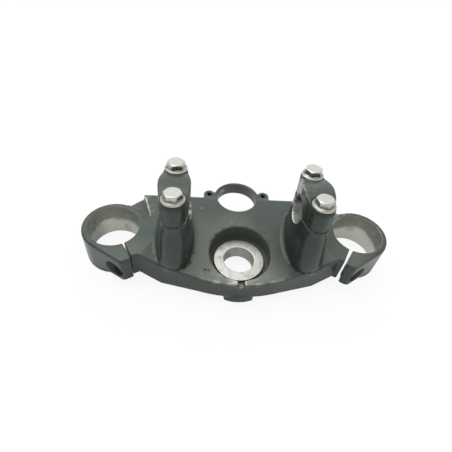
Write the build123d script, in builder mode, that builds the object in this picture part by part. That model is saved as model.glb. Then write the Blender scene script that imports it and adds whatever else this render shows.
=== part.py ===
"""Upper triple clamp of a motorcycle: cast yoke, stem bush, two handlebar caps and their bolts.

Millimetres. The origin is on the steering stem's axis at the seat of the stem nut, the top face of the bush.
+X is the rider's right, +Y the front of the motorcycle and +Z up along the stem.
"""
import os
from math import cos, radians, sin, tan

from build123d import *

os.makedirs("parts", exist_ok=True)

# Casting
edge_round = 2.0

# Fork clamps, one on each side of the stem
fork_tube_diameter = 41.0
fork_spacing = 202.0
fork_offset = 21.5
clamp_wall = 4.4
clamp_top = 12.3
clamp_height = 30.8
bore_chamfer = 0.2
slit_turn = 240.0
right_slit_width = 2.7
left_slit_width = 1.4

# Pinch lugs, either side of each slit
lug_reach = 37.5
lug_inner_reach = 34.9
lug_root_run = 5.05
lug_root_rise = 1.32
lug_height = 24.0
lug_taper = 27.3
lug_corner_radius = 4.0
pinch_reach = 29.6
pinch_drop = 15.0
pinch_thread_diameter = 8.0
pinch_clearance = 0.8
pinch_head_diameter = 14.2
pinch_seat = 7.0
pinch_thread_core = 6.8
pinch_thread_depth = 14.0

# Plate between the clamps
plate_depth = 23.9
plate_front = 28.4
plate_flank_x = 31.0
plate_flank_y = -24.0
plate_back = 58.7
plate_back_half_width = 81.5
neck_half_width = 95.0
neck_y = 43.0
belly_x = 61.5
belly_drop = 5.4
waist_x = 78.5
waist_rise = 1.2
slope_start = 26.0
slope_run = 60.0
slope_fall = 6.7
slope_half_width = 56.0
slope_end_half_width = 79.0
ledge_drop = 5.8
ledge_start = 29.0
ledge_inner_x = 72.5

# Pockets in the underside of the plate, either side of a rib
pocket_inner_x = 33.0
pocket_outer_x = 66.0
pocket_front_y = -16.0
pocket_side_y = -5.0
pocket_back_y = 51.0
pocket_ceiling = -1.0
pocket_round = 4.0
rib_thickness = 5.0

# Stem boss, with a flanged steel bush pressed into it from above
stem_diameter = 24.6
boss_diameter = 53.0
stop_reach = 29.0
stop_width = 23.0
stop_height = 8.0
recess_diameter = 48.4
recess_floor = -1.6
bush_flange_diameter = 40.4
bush_flange_thickness = 4.5
bush_spigot_diameter = 33.0
bush_length = 12.5
bush_chamfer = 0.2
press_clearance = 0.02
counterbore_diameter = 40.0
drain_width = 5.0
drain_floor = 2.0

# Ignition switch ring at the front of the plate
switch_diameter = 34.6
switch_offset = 59.7
switch_wall = 3.0
switch_top = 11.3
switch_depth = 10.7
ear_spacing = 48.6
ear_offset = 63.6
ear_radius = 5.0
ear_hole_diameter = 4.0
switch_bay_half_width = 25.0
switch_bay_front = 36.0

# Handlebar clamps
bar_diameter = 22.2
bar_spacing = 103.0
bar_offset = 16.0
bar_height = 44.6
bar_lean = 5.8
cap_bolt_spacing = 36.8
cap_end_radius = 8.8
cap_half_width = 11.6
cap_seat_height = 17.8
cap_crown_height = 20.4
cap_crown_radius = 42.0
cap_gap = 1.2
spot_diameter = 18.0
riser_waist_drop = 14.0
riser_waist_growth = 0.4
riser_foot_drop = 30.0
riser_foot_growth = 2.6
riser_base_z = 1.0
riser_base_half_width = 20.0
riser_base_end_radius = 14.5
riser_base_half_span = 15.5
riser_base_shift = -2.0

# Flanged cap bolts
bolt_diameter = 8.0
bolt_length = 40.0
bolt_flange_diameter = 16.8
bolt_flange_thickness = 1.4
bolt_flange_height = 2.8
bolt_hex = 13.0
bolt_head_height = 6.4
bolt_chamfer = 0.8
bolt_turns = (12.0, -8.0, 4.0, -18.0)
bolt_hole_clearance = 0.5
thread_clearance = 0.1
bolt_hole_spare = 4.0

# Worked out from the sizes above
fork_x = fork_spacing / 2
clamp_radius = fork_tube_diameter / 2 + clamp_wall
clamp_bottom = clamp_top - clamp_height
plate_bottom = clamp_top - plate_depth
lug_bottom = clamp_top - lug_height
cut_margin = clamp_height
saddle_x = bar_spacing / 2
bolt_half_span = cap_bolt_spacing / 2
hex_corner = bolt_hex / 2 / cos(radians(30))

# The clamp plane lies on a clamp's top with its X along the slit and its Y towards the outer lug
clamp_plane = Plane(
    origin=(fork_x, fork_offset, clamp_top),
    x_dir=(cos(radians(slit_turn)), sin(radians(slit_turn)), 0),
    z_dir=(0, 0, 1),
)
lug_tangent = (clamp_radius * sin(radians(lug_taper)), clamp_radius * cos(radians(lug_taper)))
lug_corner = (lug_reach, lug_tangent[1] - (lug_reach - lug_tangent[0]) * tan(radians(lug_taper)))
left_clamp_plane = Plane(
    origin=(-fork_x, fork_offset, clamp_top),
    x_dir=(-clamp_plane.x_dir.X, clamp_plane.x_dir.Y, 0),
    z_dir=(0, 0, 1),
)
inner_lip = clamp_plane.from_local_coords(Vector(lug_inner_reach, 0, 0))
lug_root = (inner_lip.X - lug_root_run, inner_lip.Y + lug_root_rise)

# The saddle plane is the split between riser and cap, through the bar's axis and leaning to the front
saddle_plane = Plane(
    origin=(saddle_x, bar_offset, bar_height),
    x_dir=(1, 0, 0),
    z_dir=(0, sin(radians(bar_lean)), cos(radians(bar_lean))),
)
left_saddle_plane = Plane(
    origin=(-saddle_x, bar_offset, bar_height), x_dir=saddle_plane.x_dir, z_dir=saddle_plane.z_dir
)

# The crown plane cuts the right cap along its middle, with its X to the front and its Y up the bolts
crown_plane = Plane(origin=saddle_plane.origin, x_dir=saddle_plane.y_dir, z_dir=(1, 0, 0))

# The pinch planes stand along the middle of each slit, at the pinch bolt, and face the outer lug
pinch_point = clamp_plane.from_local_coords(Vector(pinch_reach, 0, -pinch_drop))
pinch_plane = Plane(origin=pinch_point, z_dir=clamp_plane.y_dir)
left_pinch_plane = Plane(
    origin=(-pinch_point.X, pinch_point.Y, pinch_point.Z),
    z_dir=(-clamp_plane.y_dir.X, clamp_plane.y_dir.Y, 0),
)


def oval(half_width, half_span, end_radius):
    """Closed outline of two round ends, half_span from the middle, whose sides bulge to half_width."""
    ThreePointArc((end_radius, -half_span), (half_width, 0), (end_radius, half_span))
    ThreePointArc((end_radius, half_span), (0, half_span + end_radius), (-end_radius, half_span))
    ThreePointArc((-end_radius, half_span), (-half_width, 0), (-end_radius, -half_span))
    ThreePointArc((-end_radius, -half_span), (0, -half_span - end_radius), (end_radius, -half_span))


def outer_rim(casting):
    """Edges between the top faces and the walls of a casting that has no holes yet."""
    top_faces = casting.faces().filter_by(lambda face: face.normal_at().Z > 0.9)
    wall_faces = casting.faces().filter_by(lambda face: abs(face.normal_at().Z) < 0.1)
    return top_faces.edges() & wall_faces.edges()


# Right outer pinch lug in plan, tangent to its clamp
with BuildSketch(clamp_plane.offset(-clamp_top)) as lug_plan:
    with BuildLine():
        Polyline(
            (0, 0),
            (lug_inner_reach, -right_slit_width / 2),
            (lug_reach, 0),
            lug_corner,
            lug_tangent,
            close=True,
        )
    make_face()
    fillet(lug_plan.vertices().sort_by_distance(lug_corner)[0], lug_corner_radius)

# Right riser: the lower half of the handlebar clamp, flaring into the plate
with BuildPart() as riser:
    with BuildSketch(saddle_plane):
        with BuildLine():
            oval(cap_half_width, bolt_half_span, cap_end_radius)
        make_face()
    with BuildSketch(saddle_plane.offset(-riser_waist_drop)):
        with BuildLine():
            oval(cap_half_width + riser_waist_growth, bolt_half_span, cap_end_radius + riser_waist_growth)
        make_face()
    with BuildSketch(saddle_plane.offset(-riser_foot_drop)):
        with BuildLine():
            oval(cap_half_width + riser_foot_growth, bolt_half_span, cap_end_radius + riser_foot_growth)
        make_face()
    with BuildSketch(Plane((saddle_x, bar_offset + riser_base_shift, riser_base_z))):
        with BuildLine():
            oval(riser_base_half_width, riser_base_half_span, riser_base_end_radius)
        make_face()
    loft()

# Wedge above the plate's top, which falls to the rider and rises again to each clamp
with BuildPart() as slope_cut:
    slope_end = clamp_top - slope_fall * (slope_start + slope_run) / (slope_start + plate_front)
    with BuildSketch(Plane.YZ):
        with BuildLine():
            Polyline(
                (slope_start, clamp_top),
                (-slope_run, slope_end),
                (-slope_run, clamp_top + cut_margin),
                (slope_start, clamp_top + cut_margin),
                close=True,
            )
        make_face()
    extrude(amount=fork_x, both=True)
    slope_corner = Vector(slope_half_width, slope_start, clamp_top)
    slope_foot = Vector(slope_half_width, -plate_front, clamp_top - slope_fall)
    slope_top = Vector(slope_end_half_width, inner_lip.Y, clamp_top)
    slope_side = Plane(slope_corner, z_dir=(slope_top - slope_corner).cross(slope_foot - slope_corner))
    split(bisect_by=slope_side, keep=Keep.BOTTOM)
    mirror(about=Plane.YZ, mode=Mode.INTERSECT)

# Step behind each clamp, where the plate's neck falls below the plate's back corner
with BuildPart() as ledge_cut:
    with BuildSketch(Plane.YZ.offset(ledge_inner_x)):
        with BuildLine():
            Polyline(
                (ledge_start, clamp_top),
                (plate_back, clamp_top - ledge_drop),
                (plate_back + cut_margin, clamp_top - ledge_drop),
                (plate_back + cut_margin, clamp_top + cut_margin),
                (ledge_start, clamp_top + cut_margin),
                close=True,
            )
        make_face()
    extrude(amount=cut_margin)
    ledge_side = Plane(
        (ledge_inner_x, ledge_start, clamp_top),
        z_dir=(plate_back - ledge_start, ledge_inner_x - plate_back_half_width, 0),
    )
    split(bisect_by=ledge_side, keep=Keep.TOP)
    with BuildSketch(Plane.XY.offset(clamp_bottom)):
        with Locations((fork_x, fork_offset)):
            Circle(clamp_radius)
    extrude(amount=clamp_height + cut_margin, mode=Mode.SUBTRACT)

# Space under the skirt, which hangs lowest below the risers and rises to a waist beside each clamp
with BuildPart() as skirt_cut:
    with BuildSketch(Plane.XZ.offset(-plate_back - cut_margin)):
        with BuildLine():
            Polyline(
                (-fork_x - cut_margin, lug_bottom),
                (-inner_lip.X, lug_bottom),
                (-waist_x, plate_bottom + waist_rise),
                (-belly_x, plate_bottom - belly_drop),
                (-plate_flank_x, plate_bottom),
                (plate_flank_x, plate_bottom),
                (belly_x, plate_bottom - belly_drop),
                (waist_x, plate_bottom + waist_rise),
                (inner_lip.X, lug_bottom),
                (fork_x + cut_margin, lug_bottom),
                (fork_x + cut_margin, clamp_bottom - cut_margin),
                (-fork_x - cut_margin, clamp_bottom - cut_margin),
                close=True,
            )
        make_face()
    extrude(amount=2 * (plate_back + cut_margin))
    with BuildSketch(Plane.XY.offset(clamp_top)):
        with Locations((fork_x, fork_offset), (-fork_x, fork_offset)):
            Circle(clamp_radius)
    extrude(amount=-clamp_height - cut_margin, mode=Mode.SUBTRACT)

# Yoke casting
with BuildPart() as upper_yoke:
    # Plate and clamps, drawn down from their common top outline
    with BuildSketch(Plane.XY.offset(clamp_top)):
        with BuildLine():
            Polyline(
                (plate_flank_x, plate_flank_y),
                lug_root,
                (inner_lip.X, inner_lip.Y),
                (fork_x, fork_offset),
                (neck_half_width, neck_y),
                (plate_back_half_width, plate_back),
                (-plate_back_half_width, plate_back),
                (-neck_half_width, neck_y),
                (-fork_x, fork_offset),
                (-inner_lip.X, inner_lip.Y),
                (-lug_root[0], lug_root[1]),
                (-plate_flank_x, plate_flank_y),
            )
            ThreePointArc(
                (-plate_flank_x, plate_flank_y), (0, -plate_front), (plate_flank_x, plate_flank_y)
            )
        make_face()
        add(lug_plan.sketch)
        mirror(lug_plan.sketch, about=Plane.YZ)
        with Locations((fork_x, fork_offset), (-fork_x, fork_offset)):
            Circle(clamp_radius)
    extrude(amount=-clamp_height)
    add(slope_cut.part, mode=Mode.SUBTRACT)
    fillet(outer_rim(upper_yoke), edge_round)
    add(ledge_cut.part, mode=Mode.SUBTRACT)
    mirror(ledge_cut.part, about=Plane.YZ, mode=Mode.SUBTRACT)
    add(skirt_cut.part, mode=Mode.SUBTRACT)

    # Stem boss, down to the level of the clamps
    with BuildSketch(Plane.XY):
        Circle(boss_diameter / 2)
    extrude(amount=clamp_bottom)

    # Steering stop under the plate's rim, on the rider's side of the boss
    with BuildSketch(Plane.XY.offset(clamp_bottom)):
        Circle(stop_reach)
        Rectangle(stop_width, stop_reach, align=(Align.CENTER, Align.MAX), mode=Mode.INTERSECT)
    extrude(amount=stop_height)

    # Risers
    add(riser.part)
    mirror(riser.part, about=Plane.YZ)

    # Ignition switch ring and its ears, with a bay below for the switch
    with BuildSketch(Plane.XY.offset(clamp_bottom)):
        with Locations((0, switch_bay_front)):
            Rectangle(2 * switch_bay_half_width, plate_back, align=(Align.CENTER, Align.MIN))
    extrude(amount=switch_top - switch_depth - clamp_bottom, mode=Mode.SUBTRACT)
    with BuildSketch(Plane.XY.offset(switch_top)) as switch_plan:
        with Locations((0, switch_offset)):
            Circle(switch_diameter / 2 + switch_wall)
        with Locations((-ear_spacing / 2, ear_offset), (ear_spacing / 2, ear_offset)):
            Circle(ear_radius)
        with Locations((0, ear_offset)):
            Rectangle(
                ear_spacing + 2 * ear_radius, ear_offset - switch_bay_front, align=(Align.CENTER, Align.MAX)
            )
    extrude(amount=-switch_depth)

    # Pockets that lighten the underside, between skirt, boss, clamps and rib
    with BuildSketch(Plane.XY.offset(clamp_bottom)) as pockets:
        with BuildLine():
            Polyline(
                (pocket_inner_x, pocket_front_y),
                (pocket_outer_x, pocket_side_y),
                (pocket_outer_x, pocket_back_y),
                (pocket_inner_x, pocket_back_y),
                close=True,
            )
        make_face()
        with Locations((0, fork_offset)):
            Rectangle(fork_spacing, rib_thickness, mode=Mode.SUBTRACT)
        fillet(pockets.vertices(), pocket_round)
        mirror(about=Plane.YZ)
    extrude(amount=pocket_ceiling - clamp_bottom, mode=Mode.SUBTRACT)

    # Stem recess, bush seat and the counterbore under it
    with BuildSketch(Plane.XY.offset(recess_floor)):
        Circle(recess_diameter / 2)
    extrude(amount=clamp_top + cut_margin, mode=Mode.SUBTRACT)
    with BuildSketch(Plane.XY.offset(-bush_flange_thickness)):
        Circle(bush_flange_diameter / 2 + press_clearance)
    extrude(amount=bush_flange_thickness, mode=Mode.SUBTRACT)
    with BuildSketch(Plane.XY.offset(-bush_length)):
        Circle(bush_spigot_diameter / 2 + press_clearance)
    extrude(amount=bush_length, mode=Mode.SUBTRACT)
    with BuildSketch(Plane.XY.offset(clamp_bottom)):
        Circle(counterbore_diameter / 2)
    extrude(amount=-bush_length - clamp_bottom, mode=Mode.SUBTRACT)

    # Drain notch from the recess through the plate's rim
    with BuildSketch(Plane.XZ):
        with Locations((0, drain_floor)):
            Rectangle(drain_width, cut_margin, align=(Align.CENTER, Align.MIN))
    extrude(amount=plate_front + cut_margin, mode=Mode.SUBTRACT)

    # Bores of the fork clamps, the switch and the bar
    with Locations((fork_x, fork_offset, clamp_top), (-fork_x, fork_offset, clamp_top)):
        CounterSinkHole(fork_tube_diameter / 2, fork_tube_diameter / 2 + bore_chamfer, clamp_height, 90)
    with BuildSketch(Plane.XY.offset(clamp_bottom)):
        with Locations((0, switch_offset)):
            Circle(switch_diameter / 2)
        with Locations((-ear_spacing / 2, ear_offset), (ear_spacing / 2, ear_offset)):
            Circle(ear_hole_diameter / 2)
    extrude(amount=clamp_height, mode=Mode.SUBTRACT)
    with BuildSketch(Plane.YZ):
        with Locations((bar_offset, bar_height)):
            Circle(bar_diameter / 2)
    extrude(amount=fork_x, both=True, mode=Mode.SUBTRACT)

    # Slits and pinch bolt holes
    for clamp, pinch, slit_width in (
        (clamp_plane, pinch_plane, right_slit_width),
        (left_clamp_plane, left_pinch_plane, left_slit_width),
    ):
        with BuildSketch(clamp):
            Rectangle(lug_reach + cut_margin, slit_width, align=(Align.MIN, Align.CENTER))
        extrude(amount=-clamp_height, mode=Mode.SUBTRACT)
        with BuildSketch(pinch):
            Circle((pinch_thread_diameter + pinch_clearance) / 2)
        extrude(amount=lug_reach, mode=Mode.SUBTRACT)
        with BuildSketch(pinch.offset(slit_width / 2 + pinch_seat)):
            Circle(pinch_head_diameter / 2)
        extrude(amount=lug_reach, mode=Mode.SUBTRACT)
        with BuildSketch(pinch):
            Circle(pinch_thread_core / 2)
        extrude(amount=-slit_width / 2 - pinch_thread_depth, mode=Mode.SUBTRACT)

    # Tapped holes for the cap bolts
    for side in (saddle_plane, left_saddle_plane):
        with BuildSketch(side):
            with Locations((0, -bolt_half_span), (0, bolt_half_span)):
                Circle(bolt_diameter / 2 + thread_clearance)
        extrude(amount=cap_seat_height - bolt_length - bolt_hole_spare, mode=Mode.SUBTRACT)
upper_yoke.part.label = "upper_yoke"

# Flanged stem bush
with BuildPart() as stem_bush:
    Cylinder(bush_flange_diameter / 2, bush_flange_thickness, align=(Align.CENTER, Align.CENTER, Align.MAX))
    Cylinder(bush_spigot_diameter / 2, bush_length, align=(Align.CENTER, Align.CENTER, Align.MAX))
    Cylinder(
        stem_diameter / 2, bush_length, align=(Align.CENTER, Align.CENTER, Align.MAX), mode=Mode.SUBTRACT
    )
    chamfer(stem_bush.faces().sort_by(Axis.Z)[-1].edges().sort_by(SortBy.RADIUS)[-1], bush_chamfer)
stem_bush.part.label = "stem_bush"

# Right cap: spot-faced seats at its ends and a crown over the bar
with BuildPart() as right_bar_cap:
    with BuildSketch(saddle_plane):
        with BuildLine():
            oval(cap_half_width, bolt_half_span, cap_end_radius)
        make_face()
    extrude(amount=cap_crown_height)
    with BuildSketch(crown_plane):
        Rectangle(cap_bolt_spacing + 2 * cap_end_radius, cap_seat_height, align=(Align.CENTER, Align.MIN))
        with Locations((0, cap_crown_height - cap_crown_radius)):
            Circle(cap_crown_radius)
    extrude(amount=cap_half_width, both=True, mode=Mode.INTERSECT)
    with BuildSketch(crown_plane):
        Circle(bar_diameter / 2)
        Rectangle(cap_bolt_spacing, cap_gap, align=(Align.MIN, Align.MIN))
    extrude(amount=cap_half_width, both=True, mode=Mode.SUBTRACT)
    with BuildSketch(saddle_plane.offset(cap_seat_height)):
        with Locations((0, -bolt_half_span), (0, bolt_half_span)):
            Circle(spot_diameter / 2)
    extrude(amount=cap_crown_height, mode=Mode.SUBTRACT)
    with BuildSketch(saddle_plane):
        with Locations((0, -bolt_half_span), (0, bolt_half_span)):
            Circle((bolt_diameter + bolt_hole_clearance) / 2)
    extrude(amount=cap_crown_height, mode=Mode.SUBTRACT)
right_bar_cap.part.label = "right_bar_cap"

# Cap bolts: shank and flange turned, hexagon chamfered at its top
bolts = {}
for name, plane, step, turn in (
    ("left_front_cap_bolt", left_saddle_plane, bolt_half_span, bolt_turns[0]),
    ("left_rear_cap_bolt", left_saddle_plane, -bolt_half_span, bolt_turns[1]),
    ("right_front_cap_bolt", saddle_plane, bolt_half_span, bolt_turns[2]),
    ("right_rear_cap_bolt", saddle_plane, -bolt_half_span, bolt_turns[3]),
):
    seat_point = plane.from_local_coords(Vector(0, step, cap_seat_height))
    seat = Plane(seat_point, x_dir=plane.x_dir, z_dir=plane.z_dir)
    section = Plane(seat.origin, x_dir=seat.x_dir, z_dir=-seat.y_dir)
    with BuildPart() as cap_bolt:
        with BuildSketch(seat):
            RegularPolygon(bolt_hex / 2, 6, major_radius=False, rotation=turn)
        extrude(amount=bolt_head_height)
        with BuildSketch(section):
            with BuildLine():
                Polyline(
                    (hex_corner - bolt_chamfer * 2, bolt_head_height),
                    (hex_corner, bolt_head_height),
                    (hex_corner, bolt_head_height - bolt_chamfer),
                    close=True,
                )
            make_face()
        revolve(axis=Axis(seat.origin, seat.z_dir), mode=Mode.SUBTRACT)
        with BuildSketch(section):
            with BuildLine():
                Polyline(
                    (0, -bolt_length),
                    (bolt_diameter / 2 - bolt_chamfer, -bolt_length),
                    (bolt_diameter / 2, bolt_chamfer - bolt_length),
                    (bolt_diameter / 2, 0),
                    (bolt_flange_diameter / 2, 0),
                    (bolt_flange_diameter / 2, bolt_flange_thickness),
                    (bolt_hex / 2, bolt_flange_height),
                    (0, bolt_flange_height),
                    close=True,
                )
            make_face()
        revolve(axis=Axis(seat.origin, seat.z_dir))
    cap_bolt.part.label = name
    bolts[name] = cap_bolt.part

# Left cap
with BuildPart() as left_bar_cap:
    mirror(right_bar_cap.part, about=Plane.YZ)
left_bar_cap.part.label = "left_bar_cap"

for piece in (upper_yoke.part, stem_bush.part, left_bar_cap.part, right_bar_cap.part, *bolts.values()):
    export_step(piece, f"parts/{piece.label}.step")
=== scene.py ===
import math

import bmesh
import bpy
import numpy as np
from mathutils import Matrix, Vector


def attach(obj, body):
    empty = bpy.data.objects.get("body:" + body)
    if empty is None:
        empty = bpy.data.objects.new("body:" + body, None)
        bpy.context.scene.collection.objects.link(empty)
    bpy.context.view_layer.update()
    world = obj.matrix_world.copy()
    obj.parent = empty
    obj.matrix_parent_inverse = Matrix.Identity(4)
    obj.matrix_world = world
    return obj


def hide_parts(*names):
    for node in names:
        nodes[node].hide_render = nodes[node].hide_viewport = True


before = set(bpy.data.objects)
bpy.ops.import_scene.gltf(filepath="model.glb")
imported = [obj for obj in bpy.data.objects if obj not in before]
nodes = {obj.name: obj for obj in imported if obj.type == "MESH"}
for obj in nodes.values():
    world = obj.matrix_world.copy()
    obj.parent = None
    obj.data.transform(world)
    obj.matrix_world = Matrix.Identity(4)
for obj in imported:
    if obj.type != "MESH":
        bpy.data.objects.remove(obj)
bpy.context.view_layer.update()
print("loaded", len(nodes), "solids")

tiny = 1e-6  # metres, less than any real length here

# Sizes shared by several pieces, in metres and in the yoke's own frame
yokeSizes = {
    "forkHalfSpacing": 0.101,
    "forkOffset": 0.0215,
    "forkRadius": 0.0205,
    "slitTurn": 240.0,
    "slitReach": 0.0385,
    "pinchReach": 0.0296,
    "pinchHeight": -0.0027,
    "clampBottom": -0.0185,
    "barHalfSpacing": 0.0515,
    "barOffset": 0.016,
    "barHeight": 0.0446,
    "barRadius": 0.0111,
    "barLean": 5.8,
    "boltHalfSpan": 0.0184,
    "capSeat": 0.0178,
    "recessRadius": 0.0242,
    "switchOffset": 0.0597,
    "switchRadius": 0.0173,
}


def clampLean():  # tips an upright thing to the lean of the bar clamps
    return Matrix.Rotation(math.radians(-yokeSizes["barLean"]), 3, "X")


def boltSeats():  # where the cap bolts sit, by the bolts' names
    lean = clampLean()
    seats = {}
    for side, sign in (("left", -1), ("right", 1)):
        across = sign * yokeSizes["barHalfSpacing"]
        middle = Vector((across, yokeSizes["barOffset"], yokeSizes["barHeight"]))
        for end, way in (("front", 1), ("rear", -1)):
            step = Vector((0, way * yokeSizes["boltHalfSpan"], yokeSizes["capSeat"]))
            seats[side + "_" + end] = middle + lean @ step
    return seats


# A shader socket that takes part in sums
class Value:
    def __init__(self, finish, socket):
        self.finish = finish
        self.socket = socket

    def maths(self, operation, first, second):
        made = self.finish.node("ShaderNodeMath", {"operation": operation}, {0: first, 1: second})
        return Value(self.finish, made.outputs[0])

    def __add__(self, other):
        return self.maths("ADD", self, other)

    def __radd__(self, other):
        return self.maths("ADD", other, self)

    def __sub__(self, other):
        return self.maths("SUBTRACT", self, other)

    def __rsub__(self, other):
        return self.maths("SUBTRACT", other, self)

    def __mul__(self, other):
        return self.maths("MULTIPLY", self, other)

    def __rmul__(self, other):
        return self.maths("MULTIPLY", other, self)

    def __pow__(self, other):
        return self.maths("POWER", self, other)

    def rise(self, low, high):  # 0 below low, 1 above high, smooth between them
        made = self.finish.node(
            "ShaderNodeMapRange",
            {"interpolation_type": "SMOOTHSTEP"},
            {"Value": self, "From Min": low, "From Max": high},
        )
        return Value(self.finish, made.outputs["Result"])


# A material under construction
class Finish:
    def __init__(self, name):
        self.material = bpy.data.materials.new(name)
        self.start(self.material, "Object")

    def start(self, owner, coordinates):
        owner.use_nodes = True
        self.tree = owner.node_tree
        self.tree.nodes.clear()
        self.place = self.node("ShaderNodeTexCoord").outputs[coordinates]

    def node(self, kind, settings={}, sockets={}):
        made = self.tree.nodes.new(kind)
        for name, setting in settings.items():
            setattr(made, name, setting)
        for name, value in sockets.items():
            if isinstance(value, Value):
                value = value.socket
            if isinstance(value, bpy.types.NodeSocket):
                self.tree.links.new(value, made.inputs[name])
            else:
                made.inputs[name].default_value = value
        return made

    def noise(self, scale, detail=3, stretch=None, place=None):  # stretch scales it by axis
        if stretch:
            mapping = {"Vector": self.place, "Scale": stretch}
            place = self.node("ShaderNodeMapping", {}, mapping).outputs["Vector"]
        sockets = {"Vector": place or self.place, "Scale": scale, "Detail": detail}
        return Value(self, self.node("ShaderNodeTexNoise", {}, sockets).outputs["Fac"])

    def axis(self, name):
        split = self.node("ShaderNodeSeparateXYZ", {}, {"Vector": self.place})
        return Value(self, split.outputs[name])

    def radius(self, offset=0.0):  # distance from an upright axis, so far ahead of the stem's
        across, along = self.axis("X"), self.axis("Y") - offset
        return (across * across + along * along) ** 0.5

    def vector(self, operation, first, second):
        return self.node("ShaderNodeVectorMath", {"operation": operation}, {0: first, 1: second})

    def within(self, away, inner, outer):  # 1 below inner, 0 beyond outer
        return 1 - Value(self, away.outputs["Value"]).rise(inner, outer)

    def near(self, centre, inner, outer):  # the same, for the distance to a point
        return self.within(self.vector("DISTANCE", self.place, centre), inner, outer)

    def line(self, first, second, inner, outer):  # and to a line between two points
        reach = Vector(second) - Vector(first)
        offset = self.vector("SUBTRACT", self.place, first).outputs[0]
        share = self.vector("DOT_PRODUCT", offset, reach / reach.length_squared).outputs["Value"]
        clipped = self.node("ShaderNodeClamp", {}, {"Value": share}).outputs["Result"]
        sockets = {0: reach, "Scale": clipped}
        foot = self.node("ShaderNodeVectorMath", {"operation": "SCALE"}, sockets).outputs[0]
        return self.within(self.vector("DISTANCE", offset, foot), inner, outer)

    def spots(self, places, core, start=0.0):  # soft spots, each full over a share of its reach
        total = start
        for centre, reach, amount in places:
            total = total + amount * self.near(centre, reach * core, reach)
        return total

    def lines(self, places, core):  # soft lines, each full over a share of its width
        total = 0.0
        for first, second, width, amount in places:
            total = total + amount * self.line(first, second, width * core, width)
        return total

    def attribute(self, name):
        found = self.node("ShaderNodeAttribute", {"attribute_name": name})
        return Value(self, found.outputs["Fac"])

    def blend(self, factor, first, second):  # first where factor is 0, second where it is 1
        sockets = {"Factor": factor, 6: first, 7: second}
        return self.node("ShaderNodeMix", {"data_type": "RGBA"}, sockets).outputs[2]

    def bump(self, height, depth, strength):
        sockets = {"Height": height, "Distance": depth, "Strength": strength}
        return self.node("ShaderNodeBump", {}, sockets).outputs["Normal"]

    def mixed(self, factor, first, second):  # one shader into another
        sockets = {"Fac": factor, 1: first, 2: second}
        return self.node("ShaderNodeMixShader", {}, sockets).outputs["Shader"]

    def done(self, colour, roughness, metallic, normal, sheen=None):
        sockets = {
            "Base Color": colour,
            "Roughness": roughness,
            "Metallic": metallic,
            "Normal": normal,
        }
        if sheen:
            sockets["Specular Tint"] = sheen
        shader = self.node("ShaderNodeBsdfPrincipled", {}, sockets)
        self.node("ShaderNodeOutputMaterial", {}, {"Surface": shader.outputs["BSDF"]})
        return self.material


def grey(level, green=1.0, blue=1.0):
    return (level, level * green, level * blue, 1.0)


# Pairs are the values between which something starts or ends, lengths are in metres
paintLook = {
    "dark": grey(0.0165, 1.36, 1.17),
    "light": grey(0.0225, 1.34, 1.16),
    # one dark colour for oily marks and for painted shade
    "grimeAndShade": grey(0.018, 0.99, 0.87),
    "recess": grey(0.075, 1.05, 0.93),
    "dust": grey(0.24, 0.995, 0.87),
    "scuff": grey(0.36, 0.995, 0.9),
    "bareMetal": grey(0.45, 1.0, 0.93),
    "sheen": grey(0.82, 1.2, 1.08),
    "roughness": 0.25,
    "dustEverywhere": 0.1,
    "dustOnSwitchWall": 0.52,
    "rubbedEverywhere": 0.03,
    "bareFrom": (0.62, 1.0),
    "cloudScale": 34,
    "smearScale": 90,
    "smearStretch": (1.0, 0.45, 1.0),
    "grainScale": 1300,
    "nickScale": 230,
    "speckScale": 900,
    "recessEdge": (0.0246, 0.0252),
    "recessRagged": 0.0016,
    "raggedAhead": (0.0, 0.012),
    "switchWall": (0.0164, 0.017),
    "switchLand": (0.0176, 0.018),
    "seatShadow": (0.0086, 0.0108),
    "creaseWidth": 0.0019,
    "bumpDepth": 0.0001,
    "bumpStrength": 0.06,
}

# Where hands, keys and stones have rubbed the edges: centre, reach and how much
rubbedPlaces = (
    ((-0.024, -0.022, 0.0055), 0.011, 0.7),
    ((-0.0125, -0.0265, 0.0055), 0.011, 1.1),
    ((-0.003, -0.0285, 0.0055), 0.009, 1.2),
    ((0.008, -0.0285, 0.0055), 0.009, 1.1),
    ((0.0185, -0.0265, 0.0055), 0.011, 0.8),
    ((0.03, -0.0225, 0.0055), 0.01, 0.7),
    ((-0.081, 0.0535, 0.0115), 0.008, 0.9),
    ((-0.0765, 0.0405, 0.0123), 0.009, 0.8),
    ((-0.073, 0.03, 0.0123), 0.006, 0.5),
    ((-0.0615, -0.0076, 0.0435), 0.005, 0.9),
    ((-0.0425, -0.003, 0.0435), 0.006, 0.9),
    ((0.0415, 0.021, 0.062), 0.017, 0.8),
    ((0.088, 0.039, 0.0123), 0.016, 0.6),
    ((0.1, -0.0054, 0.0), 0.012, 0.5),
)

# Small chips in the paint: centre, reach and how much
chippedPlaces = (
    ((-0.0308, 0.0443, 0.0123), 0.0017, 1.0),
    ((-0.0055, 0.0295, 0.0122), 0.0015, 1.0),
    ((-0.0411, 0.0163, 0.04), 0.003, 1.0),
    ((0.012, -0.021, 0.007), 0.0009, 1.0),
    ((-0.0125, 0.0715, 0.0065), 0.0055, 1.0),
)

# Worn lines in the paint: both ends, half width and how much
scratchedLines = (
    ((-0.0793, 0.0534, 0.012), (-0.0721, 0.0288, 0.0122), 0.0012, 0.8),
)

# Points along the crease round the rear of the right riser's foot, where painted shade lies
footCrease = (
    (0.0385, -0.01, 0.0079),
    (0.0433, -0.0149, 0.0076),
    (0.0482, -0.0168, 0.0073),
    (0.0536, -0.0168, 0.0075),
    (0.0587, -0.0148, 0.0072),
    (0.063, -0.0126, 0.0072),
)

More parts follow.
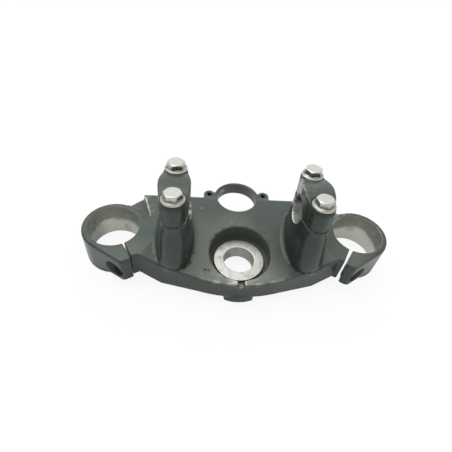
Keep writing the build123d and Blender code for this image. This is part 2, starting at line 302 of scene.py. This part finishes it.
# Where more or less road dust lies on the top: centre, reach and how much
dustyPlaces = (
    ((-0.022, -0.008, 0.008), 0.055, 0.3),
    ((0.008, -0.027, 0.006), 0.038, 0.35),
    ((-0.074, -0.004, 0.012), 0.024, 0.12),
    ((0.088, -0.008, 0.012), 0.03, 0.14),
    ((-0.118, 0.004, 0.012), 0.018, -0.08),
    ((-0.0745, 0.012, 0.012), 0.012, -0.1),
    ((-0.002, 0.028, 0.0122), 0.02, 0.1),
    ((-0.0128, 0.0746, 0.0113), 0.014, -0.1),
)

# Oily marks on the top: centre, reach and how much
markedPlaces = (
    ((-0.037, -0.0019, 0.0093), 0.0022, 1.0),
    ((-0.0277, -0.0159, 0.0075), 0.0026, 1.0),
    ((-0.0247, -0.0164, 0.0074), 0.002, 1.0),
)


def creaseLines():  # the painted shade lines in the creases of both feet, given as the worn lines are
    lines = []
    for side in (-1, 1):
        points = [(side * x, y, z) for x, y, z in footCrease]
        for first, second in zip(points, points[1:]):
            lines.append((first, second, paintLook["creaseWidth"], 1.0))
    return lines


def paintedCasting():
    look = paintLook
    finish = Finish("paintedCasting")
    cloud = finish.noise(look["cloudScale"], detail=4).rise(0.3, 0.7)
    smear = finish.noise(look["smearScale"], detail=5, stretch=look["smearStretch"])
    grain = finish.noise(look["grainScale"])
    nick = finish.noise(look["nickScale"], detail=5)
    speck = finish.noise(look["speckScale"])
    edge = finish.attribute("edge")
    level = finish.attribute("level")

    # Rubbed edges, chips and bare metal
    rubbed = finish.spots(rubbedPlaces, core=0.5, start=look["rubbedEverywhere"])
    chips = finish.spots(chippedPlaces, core=0.4) + finish.lines(scratchedLines, core=0.4)
    worn = edge * rubbed * (0.25 + level * 0.75)
    scuffed = worn * (0.15 + nick.rise(0.38, 0.58) * 0.85)
    wear = worn * 0.9 + chips * 0.8 + (nick - 0.5) * 0.7 + (speck - 0.5) * 0.4
    bare = wear.rise(*look["bareFrom"])

    # Dust on what faces up and in the switch ring
    dust = finish.spots(dustyPlaces, core=0.25, start=look["dustEverywhere"])
    ring = finish.radius(yokeSizes["switchOffset"])
    bored = ring.rise(*look["switchWall"]) * (1 - ring.rise(*look["switchLand"]))
    film = level * dust * (0.55 + smear * 0.9) + bored * (1 - level) * look["dustOnSwitchWall"]

    # Oil and dirt on the top, painted shade in the creases and round the bolts, and a lighter,
    # rougher colour in the recess
    marks = finish.spots(markedPlaces, core=0.2) * speck.rise(0.35, 0.55)
    # Painted shadow: a dark ring round each bolt's flange on the cap
    seatShadow = 0.0
    for seat in boltSeats().values():
        seatShadow = seatShadow + finish.near(seat, *look["seatShadow"])
    # Painted shade along the creases where the risers' feet meet the plate
    creaseShade = finish.lines(creaseLines(), core=0.2)
    # Real oily marks and painted shade, in one dark colour
    grimeAndShade = (marks * 0.9 + creaseShade * 0.7 + seatShadow * 0.7).rise(0.0, 1.0)
    ragged = nick.rise(0.45, 0.62) * finish.axis("Y").rise(*look["raggedAhead"])
    pit = 1 - (finish.radius() - ragged * look["recessRagged"]).rise(*look["recessEdge"])

    base = finish.blend(cloud, look["dark"], look["light"])
    filmed = finish.blend(film, base, look["dust"])
    rubbedPaint = finish.blend(scuffed * 0.8, filmed, look["scuff"])
    dirtyAndShaded = finish.blend(grimeAndShade, rubbedPaint, look["grimeAndShade"])
    sunk = finish.blend(pit, dirtyAndShaded, look["recess"])
    colour = finish.blend(bare, sunk, look["bareMetal"])
    roughness = look["roughness"] + cloud * 0.05 + film * 0.35
    roughness = roughness + (grimeAndShade + pit) * 0.5 + (grain - 0.5) * 0.04
    normal = finish.bump(grain * 0.6 + smear * 0.4, look["bumpDepth"], look["bumpStrength"])
    return finish.done(colour, roughness, bare * 0.8, normal, look["sheen"])


boreLook = {
    "bright": grey(0.66, 1.015, 0.92),
    "darker": grey(0.31, 1.04, 0.92),
    "smudge": grey(0.1, 0.95, 0.75),
    "roughness": 0.42,
    "metallic": 0.9,
    "margin": 0.0004,  # faces this far outside the bore still count as machined
    "ringScale": 900,
    "ringStretch": (0.05, 0.05, 1.0),
    "cloudScale": 70,
    "patchScale": 160,
    "patchStretch": (1.0, 1.0, 0.4),
    "upperBandFrom": (-0.0045, 0.0005),  # heights between which the darker upper band starts
    "upperBandWaver": 0.012,
    "bumpDepth": 0.00005,
    "bumpStrength": 0.3,
}

# Oily smudges in the left bore: centre, reach and how much
smudgedPlaces = (
    ((-0.1192, 0.034, 0.0045), 0.006, 1.0),
    ((-0.1208, 0.0275, -0.002), 0.005, 1.0),
    ((-0.1165, 0.0385, 0.0015), 0.004, 1.0),
    ((-0.1214, 0.0228, -0.007), 0.0065, 1.0),
)

# Dull places low in the left bore: centre, reach and how much
dulledPlaces = (((-0.1208, 0.0265, -0.008), 0.019, 0.7),)


def machinedBore():
    look = boreLook
    finish = Finish("machinedBore")
    rings = finish.noise(look["ringScale"], detail=2, stretch=look["ringStretch"])
    cloud = finish.noise(look["cloudScale"], detail=4)
    patch = finish.noise(look["patchScale"], detail=4, stretch=look["patchStretch"])
    # The bore is darker towards the top, with a wavering edge
    height = finish.axis("Z") + (cloud - 0.5) * look["upperBandWaver"]
    upperBand = height.rise(*look["upperBandFrom"])
    tone = upperBand + patch.rise(0.56, 0.7) * (0.45 - upperBand * 0.8)
    tone = tone + finish.spots(dulledPlaces, core=0.4) * (0.5 + cloud)
    smudges = finish.spots(smudgedPlaces, core=0.3) * patch.rise(0.4, 0.6)
    metal = finish.blend(tone, look["bright"], look["darker"])
    colour = finish.blend(smudges * 0.8, metal, look["smudge"])
    roughness = look["roughness"] + upperBand * 0.12 + (rings - 0.5) * 0.15
    normal = finish.bump(rings, look["bumpDepth"], look["bumpStrength"])
    return finish.done(colour, roughness, look["metallic"], normal)


saddleLook = {
    "bright": grey(0.6, 1.02, 0.95),
    "dull": grey(0.17, 1.05, 0.95),
    "roughness": 0.4,
    "metallic": 0.85,
    "margin": 0.0003,  # faces this far outside the bore still count as machined
    "streakScale": 420,
    "streakStretch": (0.08, 1.0, 1.0),
    "cloudScale": 150,
    "dullFrom": (0.72, 1.08),
    "leftFrom": (-0.01, 0.01),
    "leftDarkening": 0.09,
    "upperFrom": (0.036, 0.044),
    "upperDarkening": 0.4,
    "bumpDepth": 0.00006,
    "bumpStrength": 0.3,
}


def boredSaddle():
    look = saddleLook
    finish = Finish("boredSaddle")
    streak = finish.noise(look["streakScale"], stretch=look["streakStretch"])
    cloud = finish.noise(look["cloudScale"], detail=4)
    # Darker to the left and towards the top, added to the random streaks
    left = 1 - finish.axis("X").rise(*look["leftFrom"])
    upper = finish.axis("Z").rise(*look["upperFrom"])
    darkening = left * look["leftDarkening"] + upper * look["upperDarkening"]
    dullness = (streak * 0.7 + cloud * 0.9 + darkening).rise(*look["dullFrom"])
    colour = finish.blend(dullness, look["bright"], look["dull"])
    normal = finish.bump(streak, look["bumpDepth"], look["bumpStrength"])
    return finish.done(colour, look["roughness"] + dullness * 0.15, look["metallic"], normal)


steelLook = {
    "bright": grey(0.43, 1.005, 0.92),
    "dull": grey(0.35, 1.005, 0.9),
    "roughness": 0.38,
    "metallic": 1.0,
    "ringScale": 1600,
    "cloudScale": 160,
    "scuffScale": 500,
    "scuffStretch": (1.0, 0.3, 1.0),
    "bumpDepth": 0.00005,
    "bumpStrength": 0.35,
}


def turnedSteel():
    look = steelLook
    finish = Finish("turnedSteel")
    turning = {"X": finish.radius(), "Z": finish.axis("Z")}
    polar = finish.node("ShaderNodeCombineXYZ", {}, turning).outputs["Vector"]
    rings = finish.noise(look["ringScale"], detail=2, place=polar)
    cloud = finish.noise(look["cloudScale"], detail=4)
    scuff = finish.noise(look["scuffScale"], detail=4, stretch=look["scuffStretch"])
    mark = (cloud * 0.7 + scuff * 0.3).rise(0.46, 0.64)
    colour = finish.blend(mark, look["bright"], look["dull"])
    roughness = look["roughness"] + mark * 0.12 + (rings - 0.5) * 0.2
    normal = finish.bump(rings * 0.8 + scuff * 0.2, look["bumpDepth"], look["bumpStrength"])
    return finish.done(colour, roughness, look["metallic"], normal)


zincLook = {
    "bright": grey(0.5, 1.015, 0.96),
    "warm": grey(0.47, 1.0, 0.86),
    "dark": grey(0.2, 1.0, 0.86),
    "roughness": 0.3,
    "metallic": 1.0,
    "cloudScale": 260,
    "speckScale": 1700,
    "bumpDepth": 0.00004,
    "bumpStrength": 0.3,
}


def zincPlate():
    look = zincLook
    finish = Finish("zincPlate")
    cloud = finish.noise(look["cloudScale"], detail=4)
    speck = finish.noise(look["speckScale"])
    # Painted shade with some grime: the flange and the hexagon's foot warmer, the foot also
    # darker
    grimeAndShade = finish.attribute("grimeAndShade")
    foot = finish.attribute("foot")
    mark = (cloud.rise(0.5, 0.72) * 0.5 + grimeAndShade * (0.35 + cloud)).rise(0.0, 1.0)
    plated = finish.blend(mark, look["bright"], look["warm"])
    colour = finish.blend(foot * cloud.rise(0.25, 0.5), plated, look["dark"])
    roughness = look["roughness"] + mark * 0.14 + (speck - 0.5) * 0.1
    normal = finish.bump(speck, look["bumpDepth"], look["bumpStrength"])
    return finish.done(colour, roughness, look["metallic"], normal)


def plainMesh(piece):  # what the modifiers make of a piece, as a mesh with none
    shown = piece.evaluated_get(bpy.context.evaluated_depsgraph_get())
    mesh = bpy.data.meshes.new_from_object(shown)
    piece.modifiers.clear()
    piece.data = mesh
    return mesh


def added(name, mesh):
    piece = bpy.data.objects.new(name, mesh)
    bpy.context.scene.collection.objects.link(piece)
    return piece


def smoothed(mesh):
    mesh.polygons.foreach_set("use_smooth", [True] * len(mesh.polygons))


def copyOf(nodeName, pieceName):  # a solid's mesh with its loose triangles joined up
    work = bmesh.new()
    work.from_mesh(nodes[nodeName].data)
    bmesh.ops.remove_doubles(work, verts=work.verts, dist=tiny)
    mesh = bpy.data.meshes.new(pieceName)
    work.to_mesh(mesh)
    work.free()
    return added(pieceName, mesh)


# A mesh's vertices and their neighbours, for easing and for finding edges
class Skin:
    def __init__(self, mesh):
        self.mesh = mesh
        count = len(mesh.vertices)
        places = np.empty(count * 3, np.float32)
        mesh.vertices.foreach_get("co", places)
        self.places = places.reshape(-1, 3).astype(float)
        ends = np.empty(len(mesh.edges) * 2, np.int32)
        mesh.edges.foreach_get("vertices", ends)
        self.ends = ends.reshape(-1, 2)
        self.degree = np.maximum(np.bincount(ends, minlength=count), 1)

    def mean(self, values):  # each vertex gets the average of its neighbours
        first, second = self.ends[:, 0], self.ends[:, 1]
        count = len(values)
        total = np.bincount(first, values[second], count)
        total = total + np.bincount(second, values[first], count)
        return total / self.degree

    def means(self, places):
        return np.stack([self.mean(places[:, axis]) for axis in range(3)], axis=1)

    def ease(self, rounds, weight=0.5):
        pull = np.broadcast_to(np.asarray(weight, float), (len(self.places),))[:, None]
        for _ in range(rounds):
            self.places += pull * (self.means(self.places) - self.places)

    def normals(self):
        self.mesh.vertices.foreach_set("co", self.places.astype(np.float32).ravel())
        self.mesh.update()
        found = np.empty(len(self.places) * 3, np.float32)
        self.mesh.vertex_normals.foreach_get("vector", found)
        return found.reshape(-1, 3)

    def standing(self, rounds):  # how far each vertex stands out of its neighbourhood
        normals = self.normals()
        around = self.places.copy()
        for _ in range(rounds):
            around = 0.5 * around + 0.5 * self.means(around)
        return np.einsum("ij,ij->i", self.places - around, normals)

    def keep(self, name, values):
        made = self.mesh.attributes.new(name, "FLOAT", "POINT")
        made.data.foreach_set("value", np.clip(values, 0, 1).astype(np.float32))


def inSlit(x, y):  # right-hand places in the slit's own axes: along and across it
    dx, dy = x - yokeSizes["forkHalfSpacing"], y - yokeSizes["forkOffset"]
    turn = math.radians(yokeSizes["slitTurn"])
    along = dx * math.cos(turn) + dy * math.sin(turn)
    return along, dy * math.cos(turn) - dx * math.sin(turn)


def inClamp(places):  # places in a bar clamp's own axes: across, along and up
    lean = math.radians(yokeSizes["barLean"])
    across = places[:, 0] - np.sign(places[:, 0]) * yokeSizes["barHalfSpacing"]
    dy, dz = places[:, 1] - yokeSizes["barOffset"], places[:, 2] - yokeSizes["barHeight"]
    along = dy * math.cos(lean) - dz * math.sin(lean)
    return across, along, dy * math.sin(lean) + dz * math.cos(lean)


# How far the sharp places reach beyond a bore's wall or from a middle, and where they end
crispLook = {
    "fork": 0.0012,
    "bore": 0.001,
    "slit": 0.003,
    "pinch": 0.0085,
    "pinchBeyond": 0.07,
    "recessBelow": 0.011,
    "footAcross": 0.02,
    "footBehind": -0.006,
    "footHeights": (-0.006, 0.014),
}


def crisp(places):  # True where the mould left no fillet, or a tool made the surface
    look, sizes = crispLook, yokeSizes
    x, y, z = np.abs(places[:, 0]), places[:, 1], places[:, 2]
    along, across = inSlit(x, y)
    fork = np.hypot(along, across) < sizes["forkRadius"] + look["fork"]
    slit = (np.abs(across) < look["slit"]) & (along > 0) & (along < sizes["slitReach"])
    pinch = np.hypot(along - sizes["pinchReach"], z - sizes["pinchHeight"]) < look["pinch"]
    pinch = pinch & (x > look["pinchBeyond"])
    recess = np.hypot(x, y) < sizes["recessRadius"] + look["bore"]
    recess = recess & (z < look["recessBelow"])
    switch = np.hypot(x, y - sizes["switchOffset"]) < sizes["switchRadius"] + look["bore"]
    bar = np.hypot(y - sizes["barOffset"], z - sizes["barHeight"])
    bar = bar < sizes["barRadius"] + look["bore"]
    low, high = look["footHeights"]
    foot = np.abs(x - sizes["barHalfSpacing"]) < look["footAcross"]
    foot = foot & (y < look["footBehind"]) & (z < high) & (z > low)
    return fork | slit | pinch | recess | switch | bar | foot


# Swell by depth below the split, and taper by the way ahead of the bar
barClampLook = {
    "swellDrops": (-0.0005, 0.0, 0.014, 0.03),
    "swell": (0.0, 0.0007, 0.0011, 0.0),
    "swellFrom": 0.006,
    "swellFade": 0.004,
    "swellEnd": 0.024,
    "taperReach": (0.0, 0.009, 0.013, 0.022),
    "taper": (0.0, 0.08, 0.08, 0.0),
}


def swollenRisers(places):  # risers that stand out a little round the caps they carry
    look = barClampLook
    across, along, up = inClamp(places)
    past = along - np.clip(along, -yokeSizes["boltHalfSpan"], yokeSizes["boltHalfSpan"])
    away = np.hypot(across, past)
    amount = np.interp(-up, look["swellDrops"], look["swell"])
    amount = amount * np.clip((away - look["swellFrom"]) / look["swellFade"], 0, 1)
    amount = amount * (away < look["swellEnd"])
    step = amount / np.maximum(away, tiny)
    moved = places.copy()
    moved[:, 0] += across * step
    moved[:, 1] += past * step
    return moved


def taperedCap(places):  # a cap whose sides draw in towards its front bolt
    across, along, _ = inClamp(places)
    moved = places.copy()
    moved[:, 0] -= across * np.interp(along, barClampLook["taperReach"], barClampLook["taper"])
    return moved


# How much of the shift is made along the slit, and the shift by the distance from its middle
leftSlitLook = {
    "shutReach": (0.0225, 0.036, 0.039, 0.045),
    "shutShare": (0.0, 1.0, 1.0, 0.0),
    "besideReach": (0.0, 0.0007, 0.0035),
    "besideShift": (0.0, 0.00045, 0.0),
}


def shutSlit(places):  # a left slit that is nearly shut at its outer end
    along, across = inSlit(-places[:, 0], places[:, 1])
    share = np.interp(along, leftSlitLook["shutReach"], leftSlitLook["shutShare"])
    shift = np.interp(np.abs(across), leftSlitLook["besideReach"], leftSlitLook["besideShift"])
    move = -np.sign(across) * share * shift * (places[:, 0] < 0)
    turn = math.radians(yokeSizes["slitTurn"])
    moved = places.copy()
    moved[:, 0] += math.sin(turn) * move
    moved[:, 1] += math.cos(turn) * move
    return moved


# Reach, spread and blur count rounds of averaging, depth and height are in metres
castingLook = {
    "shapes": (swollenRisers, shutSlit),
    "voxel": 0.0005,
    "easing": 6,
    "filletRounds": 110,
    "hollowReach": 5,
    "hollowDepth": 0.00006,
    "hollowSpread": 7,
    "edgeReach": 14,
    "edgeHeight": 0.00016,
    "edgeBlur": 8,
    "keep": 0.24,
}
capLook = {
    "shapes": (taperedCap,),
    "voxel": 0.0004,
    "easing": 9,
    "edgeReach": 14,
    "edgeHeight": 0.00012,
    "edgeBlur": 4,
    "keep": 0.5,
}
levelLook = {"from": 0.45, "fade": 0.4}  # upward share of a normal where dust starts to lie


def fillCorners(skin, look):  # fills the inner corners, as a casting's fillets do
    hollow = np.clip(-skin.standing(look["hollowReach"]) / look["hollowDepth"], 0, 1)
    sharp = crisp(skin.places)
    hollow[sharp] = 0
    for _ in range(look["hollowSpread"]):
        hollow = np.maximum(hollow, skin.mean(hollow))
    hollow[sharp] = 0
    skin.ease(look["filletRounds"], 0.5 * hollow)


def castPiece(nodeName, pieceName, look):  # a solid with the soft edges of a casting
    piece = copyOf(nodeName, pieceName)
    remesh = piece.modifiers.new("remesh", "REMESH")
    remesh.mode = "VOXEL"
    remesh.voxel_size = look["voxel"]
    skin = Skin(plainMesh(piece))
    for shape in look["shapes"]:
        skin.places = shape(skin.places)
    skin.ease(look["easing"])
    if "filletRounds" in look:
        fillCorners(skin, look)
    edge = np.clip(skin.standing(look["edgeReach"]) / look["edgeHeight"], 0, 1)
    for _ in range(look["edgeBlur"]):
        edge = 0.5 * edge + 0.5 * skin.mean(edge)
    skin.keep("edge", edge)
    thin = piece.modifiers.new("thin", "DECIMATE")
    thin.ratio = look["keep"]
    mesh = plainMesh(piece)
    smoothed(mesh)
    skin = Skin(mesh)
    skin.keep("level", (skin.normals()[:, 2] - levelLook["from"]) / levelLook["fade"])
    print(pieceName, "has", sum(len(p.vertices) - 2 for p in mesh.polygons), "triangles")
    return piece


def inFork(spot):
    dx = abs(spot.x) - yokeSizes["forkHalfSpacing"]
    dy = spot.y - yokeSizes["forkOffset"]
    return math.hypot(dx, dy) < yokeSizes["forkRadius"] + boreLook["margin"]


def inBar(spot):
    dy = spot.y - yokeSizes["barOffset"]
    dz = spot.z - yokeSizes["barHeight"]
    return math.hypot(dy, dz) < yokeSizes["barRadius"] + saddleLook["margin"]


def paint(piece, materials, chooser):
    piece.data.materials.clear()
    for material in materials:
        piece.data.materials.append(material)
    for face in piece.data.polygons:
        face.material_index = chooser(face.center)


def handOver(piece, slotName, *nodeNames):
    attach(piece, "root")
    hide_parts(*nodeNames)


paintMaterial = paintedCasting()
boreMaterial = machinedBore()
saddleMaterial = boredSaddle()
steelMaterial = turnedSteel()
boltMaterial = zincPlate()
print("finishes mixed")

yokeCasting = castPiece("upper_yoke", "yokeCasting", castingLook)
paint(
    yokeCasting,
    [paintMaterial, boreMaterial, saddleMaterial],
    lambda spot: 1 if inFork(spot) else 2 if inBar(spot) else 0,
)
handOver(yokeCasting, "casting", "upper_yoke")
for side in ("left", "right"):
    cap = castPiece(side + "_bar_cap", side + "BarCap", capLook)
    paint(cap, [paintMaterial, saddleMaterial], lambda spot: 1 if inBar(spot) else 0)
    handOver(cap, "casting", side + "_bar_cap")
print("castings done")

sharpAngle = 32.0  # degrees, turned edges above it stay sharp


def turned(name, rings, steps, tube=False):  # rings of radius and height about Z
    angle = np.arange(steps) * 2 * math.pi / steps
    rows, points = [], []
    for radius, height in rings:
        radius = np.broadcast_to(radius, steps)
        height = np.broadcast_to(height, steps)
        pole = not radius.any()
        row = [(r * math.cos(a), r * math.sin(a), h) for r, h, a in zip(radius, height, angle)]
        row = row[:1] if pole else row
        rows.append(list(range(len(points), len(points) + len(row))))
        points.extend(row)
    faces = []  # outside lies to the right of the way along the rings
    for low, high in zip(rows, rows[1:] + rows[:1] if tube else rows[1:]):
        for j in range(steps):
            k = (j + 1) % steps
            around = [low[j % len(low)], low[k % len(low)]]
            around += [high[k % len(high)], high[j % len(high)]]
            faces.append(list(dict.fromkeys(around)))
    mesh = bpy.data.meshes.new(name)
    mesh.from_pydata(points, [], faces)
    smoothed(mesh)
    mesh.set_sharp_from_angle(angle=math.radians(sharpAngle))
    return mesh


bushLook = {
    "flangeRadius": 0.0202,
    "spigotRadius": 0.0165,
    "boreRadius": 0.0123,
    "flangeThickness": 0.0045,
    "length": 0.0125,
    "chamfer": 0.0002,
    "round": 0.00025,
    "land": 0.0004,  # narrow bands that keep the top's shading flat
    "steps": 96,
}


def stemBush():
    look = bushLook
    outer, spigot, bore = look["flangeRadius"], look["spigotRadius"], look["boreRadius"]
    chamfer, ease, land = look["chamfer"], look["round"], look["land"]
    under, end = -look["flangeThickness"], -look["length"]
    rings = [
        (bore + ease, end),
        (spigot - ease, end),
        (spigot, ease + end),
        (spigot, under),
        (outer, under),
        (outer, -chamfer),
        (outer - chamfer * 0.3, -chamfer * 0.35),
        (outer - chamfer, 0),
        (outer - chamfer - land, 0),
        (bore + ease * 1.6 + land, 0),
        (bore + ease * 1.6, 0),
        (bore + ease * 0.5, -ease * 0.4),
        (bore, -ease * 1.6),
        (bore, -ease * 3.0),
        (bore, ease + end),
    ]
    return added("stemBush", turned("stemBush", rings, look["steps"], tube=True))


stemBushPiece = stemBush()
stemBushPiece.data.materials.append(steelMaterial)
handOver(stemBushPiece, "bush_steel", "stem_bush")

boltLook = {
    "across": 0.012,
    "headHeight": 0.0064,
    "crown": 0.0055,
    "crownSlope": 0.5,
    "cornerWear": 0.00018,
    "flangeRadius": 0.0084,
    "flangeRim": 0.0014,
    "flangeTop": 0.0028,
    "shank": 0.004,
    "length": 0.04,
    "tip": 0.8,
    "pitch": 0.00125,
    "thread": 0.022,
    "threadStart": 0.0008,
    "threadDepth": 0.0004,
    "threadRunOut": 0.002,
    "threadSteps": 5,  # rings for each turn of the thread
    "threadFade": 4,  # rings over which it starts and ends
    "edge": 0.0001,
    "steps": 60,
    "grimeAndShadeFrom": 0.001,
    "grimeAndShadeFade": 0.0025,
    "footReach": 1.16,
    "footRise": 0.0006,
    "size": 1.0,
    "turns": {"left_front": 12.0, "left_rear": -8.0, "right_front": 4.0, "right_rear": -18.0},
}


def boltShape():  # one bolt, standing on its seat at the origin
    look = boltLook
    angle = np.arange(look["steps"]) * 2 * math.pi / look["steps"]
    flat = look["across"] / 2
    sixth = math.pi / 3  # what one side of the hexagon spans
    hexagon = flat / np.cos(angle % sixth - sixth / 2)
    hexagon = np.minimum(hexagon, flat / math.cos(sixth / 2) - look["cornerWear"])
    rim, top, flange = look["flangeRim"], look["flangeTop"], look["flangeRadius"]
    crown, head = look["crown"], look["headHeight"]
    shank, end, ease = look["shank"], -look["length"], look["edge"]
    fall = (top - rim) / (flange - flat)
    foot = top - (hexagon - flat) * fall
    shoulder = head - (hexagon - crown) * look["crownSlope"]
    rings = [(0, end), (shank * look["tip"], end)]
    steps, fadeSteps = look["threadSteps"], look["threadFade"]
    count = round(look["thread"] / look["pitch"] * steps)
    for i in range(count + 1):  # the thread is a ridge that climbs one pitch a turn
        height = look["threadStart"] + end + i * look["pitch"] / steps
        depth = 0.5 - 0.5 * np.cos(angle - 2 * math.pi * i / steps)
        fade = min(1.0, i / fadeSteps, (count - i) / fadeSteps)
        rings.append((shank - 3 * ease - look["threadDepth"] * depth * fade, height))
    rings += [
        (shank - ease, look["thread"] + look["threadRunOut"] + end),
        (shank - ease, -2 * ease),
        (flange - 3 * ease, 0.0),
        (flange, 2 * ease),
        (flange, rim - 3 * ease),
        (flange - 2 * ease, rim),
        (flange - 5 * ease, rim + 3 * ease * fall),
        (hexagon + 2 * ease, foot - 2 * ease * fall),
        (hexagon, foot + 1.5 * ease),
        (hexagon, foot + 5 * ease),
        (hexagon, shoulder - 4 * ease),
        (hexagon, shoulder - 1.5 * ease),
        (hexagon - ease, shoulder),
        (crown + ease, head - 0.6 * ease),
        (crown - ease, head),
        (crown - 5 * ease, head),
        (0, head),
    ]
    mesh = turned("capBoltShape", rings, look["steps"])
    skin = Skin(mesh)
    height, away = skin.places[:, 2], np.hypot(skin.places[:, 0], skin.places[:, 1])
    # Where painted shade with some grime lies: low on the bolt and round the hexagon's foot
    skin.keep("grimeAndShade", 1 - (height - look["grimeAndShadeFrom"]) / look["grimeAndShadeFade"])
    low = (height > look["grimeAndShadeFrom"]) & (height < top + look["footRise"])
    skin.keep("foot", low & (away < flat * look["footReach"]))
    return added("capBoltShape", mesh)


# A tree that sets one shape on every point, turned by the point's own angles
def seatedTree():
    tree = bpy.data.node_groups.new("seatedBolts", "GeometryNodeTree")
    sockets = tree.interface
    sockets.new_socket("Seats", in_out="INPUT", socket_type="NodeSocketGeometry")
    sockets.new_socket("Bolt", in_out="INPUT", socket_type="NodeSocketObject")
    sockets.new_socket("Size", in_out="INPUT", socket_type="NodeSocketFloat").default_value = 1.0
    sockets.new_socket("Finish", in_out="INPUT", socket_type="NodeSocketMaterial")
    sockets.new_socket("Bolts", in_out="OUTPUT", socket_type="NodeSocketGeometry")
    made = {}
    for name, kind in (
        ("inputs", "NodeGroupInput"),
        ("shape", "GeometryNodeObjectInfo"),
        ("angles", "GeometryNodeInputNamedAttribute"),
        ("seated", "GeometryNodeInstanceOnPoints"),
        ("real", "GeometryNodeRealizeInstances"),
        ("finished", "GeometryNodeSetMaterial"),
        ("outputs", "NodeGroupOutput"),
    ):
        made[name] = tree.nodes.new(kind)
    made["angles"].data_type = "FLOAT_VECTOR"
    made["angles"].inputs["Name"].default_value = "angles"
    for source, out, target, into in (
        ("inputs", "Bolt", "shape", "Object"),
        ("inputs", "Seats", "seated", "Points"),
        ("shape", "Geometry", "seated", "Instance"),
        ("angles", "Attribute", "seated", "Rotation"),
        ("inputs", "Size", "seated", "Scale"),
        ("seated", "Instances", "real", "Geometry"),
        ("real", "Geometry", "finished", "Geometry"),
        ("inputs", "Finish", "finished", "Material"),
        ("finished", "Geometry", "outputs", "Bolts"),
    ):
        tree.links.new(made[source].outputs[out], made[target].inputs[into])
    return tree


def capBolts():
    lean = clampLean()
    seats, angles = boltSeats(), []
    for name in seats:
        turn = Matrix.Rotation(math.radians(boltLook["turns"][name]), 3, "Z")
        angles.extend((lean @ turn).to_euler("XYZ"))
    mesh = bpy.data.meshes.new("capBolts")
    mesh.from_pydata(list(seats.values()), [], [])
    kept = mesh.attributes.new("angles", "FLOAT_VECTOR", "POINT")
    kept.data.foreach_set("vector", angles)
    piece = added("capBolts", mesh)
    shape = boltShape()
    tree = seatedTree()
    chosen = {"Bolt": shape, "Size": boltLook["size"], "Finish": boltMaterial}
    seating = piece.modifiers.new("seating", "NODES")
    seating.node_group = tree
    for socket in tree.interface.items_tree:
        if socket.in_out == "INPUT" and socket.name in chosen:
            seating[socket.identifier] = chosen[socket.name]
    plainMesh(piece)
    bpy.data.objects.remove(shape)
    return piece


capBoltsPiece = capBolts()
handOver(capBoltsPiece, "plated_steel", *[name + "_cap_bolt" for name in boltLook["turns"]])
print("turned pieces done")


# A patch of light or shade has a level, a way that it lies, and the cosines where it starts
studio = {
    "floorSize": 6.0,
    "floorColour": grey(0.93),
    "floorGlow": 0.9,
    "floorMirror": 0.28,
    "skyLevel": 0.85,
    "softboxLevel": 2.4,
    "softboxWay": (-0.25, 0.3, 0.92),
    "softboxEdges": (0.85, 0.97),
    "windowLevel": 0.45,
    "windowWay": (0.1, 0.9, 0.5),
    "windowEdges": (0.75, 0.97),
    "shadeLevel": 0.45,
    "shadeWay": (-0.1, -0.67, 0.74),
    "shadeEdges": (0.8, 0.97),
}
white = grey(1.0)


def studioFloor():
    half = studio["floorSize"] / 2
    level = yokeSizes["clampBottom"]
    corners = [(x * half, y * half, level) for x, y in ((-1, -1), (1, -1), (1, 1), (-1, 1))]
    mesh = bpy.data.meshes.new("studioFloor")
    mesh.from_pydata(corners, [], [(0, 1, 2, 3)])
    floor = added("studioFloor", mesh)
    finish = Finish("studioFloorWhite")
    ray = finish.node("ShaderNodeLightPath")
    seen = Value(finish, ray.outputs["Is Camera Ray"]) * studio["floorGlow"]
    for name in ("Is Glossy Ray", "Is Transmission Ray"):
        seen = seen + Value(finish, ray.outputs[name]) * studio["floorMirror"]
    matt = finish.node("ShaderNodeBsdfDiffuse", {}, {"Color": studio["floorColour"]})
    glow = finish.node("ShaderNodeEmission", {}, {"Color": white})
    shader = finish.mixed(seen, matt.outputs["BSDF"], glow.outputs["Emission"])
    finish.node("ShaderNodeOutputMaterial", {}, {"Surface": shader})
    mesh.materials.append(finish.material)


class Sky(Finish):
    def __init__(self, name):
        self.world = bpy.data.worlds.new(name)
        self.start(self.world, "Generated")

    def towards(self, name):  # how much of a named patch of light or shade a direction gets
        way = Vector(studio[name + "Way"]).normalized()
        facing = Value(self, self.vector("DOT_PRODUCT", self.place, way).outputs["Value"])
        return facing.rise(*studio[name + "Edges"]) * studio[name + "Level"]

    def background(self, strength):
        sockets = {"Color": white, "Strength": strength}
        return self.node("ShaderNodeBackground", {}, sockets).outputs["Background"]


def studioSky():
    sky = Sky("studioSky")
    light = studio["skyLevel"] + sky.towards("softbox") + sky.towards("window")
    lit = sky.background(light - sky.towards("shade"))
    seen = sky.background(1.0)
    ray = sky.node("ShaderNodeLightPath")
    shader = sky.mixed(ray.outputs["Is Camera Ray"], lit, seen)
    sky.node("ShaderNodeOutputWorld", {}, {"Surface": shader})
    bpy.context.scene.world = sky.world


studioFloor()
studioSky()

cameraView = {
    "aim": (-0.00235, 0.08967, -0.06013),
    "azimuth": -7.340,
    "elevation": 47.807,
    "roll": 7.507,
    "distance": 0.39621,
    "lens": 28.844,
    "sensor": 36.0,
    "clipStart": 0.01,
}


def photographer():
    turn = math.radians(cameraView["azimuth"])
    rise = math.radians(cameraView["elevation"])
    level = math.cos(rise)
    back = Vector((math.sin(turn) * level, -math.cos(turn) * level, math.sin(rise)))
    right = Vector((math.cos(turn), math.sin(turn), 0))
    axes = Matrix((right, back.cross(right), back)).transposed().to_4x4()
    lens = bpy.data.cameras.new("photographer")
    lens.lens = cameraView["lens"]
    lens.sensor_width = cameraView["sensor"]
    lens.clip_start = cameraView["clipStart"]
    camera = added("photographer", lens)
    camera.matrix_world = (
        Matrix.Translation(Vector(cameraView["aim"]) + back * cameraView["distance"])
        @ axes
        @ Matrix.Rotation(math.radians(cameraView["roll"]), 4, "Z")
    )
    bpy.context.scene.camera = camera


photographer()
bpy.context.scene.view_settings.view_transform = "Standard"
print("studio lit")
